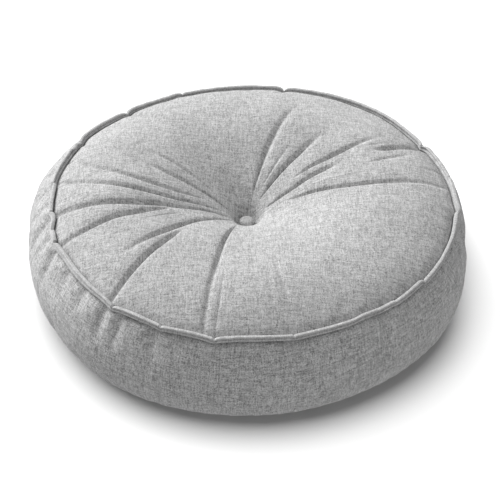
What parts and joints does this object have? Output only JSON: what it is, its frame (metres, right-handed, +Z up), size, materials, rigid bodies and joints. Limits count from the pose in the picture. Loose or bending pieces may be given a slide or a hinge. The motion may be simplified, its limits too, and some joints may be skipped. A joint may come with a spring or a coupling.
{
  "type": "round floor cushion",
  "caption": "Round button-tufted floor cushion in light grey linen-look fabric, with a crowned creased top, a bulging side and an upright sewn edge round the top seam.",
  "frame": {"origin": "middle of the flat underside, on the surface that the cushion lies on", "axes": "+Z up through the top, -Y towards the front, +X to the right seen from the front"},
  "size_m": [0.5771, 0.6, 0.159],
  "materials": {
    "cover_fabric": "light grey heathered plain weave, matt",
    "edging_fabric": "the same light grey plain weave, folded double and stitched",
    "button_fabric": "the same light grey plain weave, drawn smooth over a button"
  },
  "bodies": {
    "root": {"cushion_body": "cover_fabric", "seam_edging": "edging_fabric", "tuft_button": "button_fabric"}
  },
  "joints": []
}
